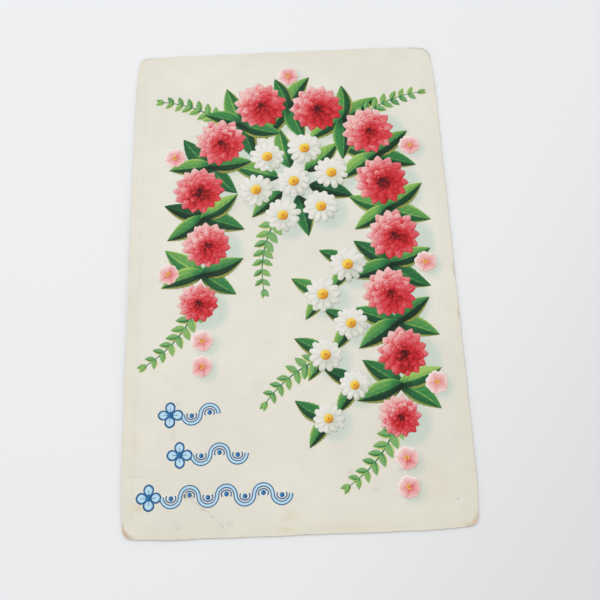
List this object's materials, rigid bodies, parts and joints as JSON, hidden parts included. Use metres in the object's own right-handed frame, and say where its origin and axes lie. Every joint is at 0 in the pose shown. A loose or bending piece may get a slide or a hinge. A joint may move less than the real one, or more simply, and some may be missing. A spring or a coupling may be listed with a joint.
{
  "type": "embossed greeting postcard",
  "caption": "Antique pasteboard greeting postcard: pasted paper plies with a plate-mark margin, an embossed flower garland printed in colour films, and a ruled divided back.",
  "frame": {"origin": "middle of the card's back face, on the surface that it lies on", "axes": "+X to the picture's right edge, +Y to its top edge, +Z out of the picture face"},
  "size_m": [0.0888, 0.1396, 0.001],
  "materials": {
    "face_paper": "smooth ivory coated paper, lightly yellowed",
    "back_paper": "uncoated cream paper, toned with age",
    "pasteboard": "soft tan pulp board",
    "paste": "dried starch paste",
    "ink_sepia": "matt sepia printing ink",
    "ink_shadow_tint": "pale blue-green tint",
    "ink_leaf_green": "dark green printing ink with a faint gloss",
    "ink_sprig_green": "light green printing ink",
    "ink_rose": "rose printing ink with a faint gloss",
    "ink_scarlet": "scarlet printing ink with a faint gloss",
    "ink_crimson": "crimson printing ink with a faint gloss",
    "ink_pale_pink": "pale pink printing ink",
    "ink_white": "opaque white printing ink",
    "ink_yellow": "yellow printing ink",
    "ink_blue": "blue printing ink"
  },
  "bodies": {
    "root": {"back_paper": "back_paper", "back_rule_ink": "ink_sepia", "back_paste": "paste", "core_board": "pasteboard", "face_paste": "paste", "face_paper": "face_paper", "shadow_tint_ink": "ink_shadow_tint", "leaf_green_ink": "ink_leaf_green", "sprig_green_ink": "ink_sprig_green", "rose_ink": "ink_rose", "scarlet_ink": "ink_scarlet", "crimson_ink": "ink_crimson", "pale_pink_ink": "ink_pale_pink", "white_ink": "ink_white", "yellow_ink": "ink_yellow", "blue_ink": "ink_blue"}
  },
  "joints": []
}
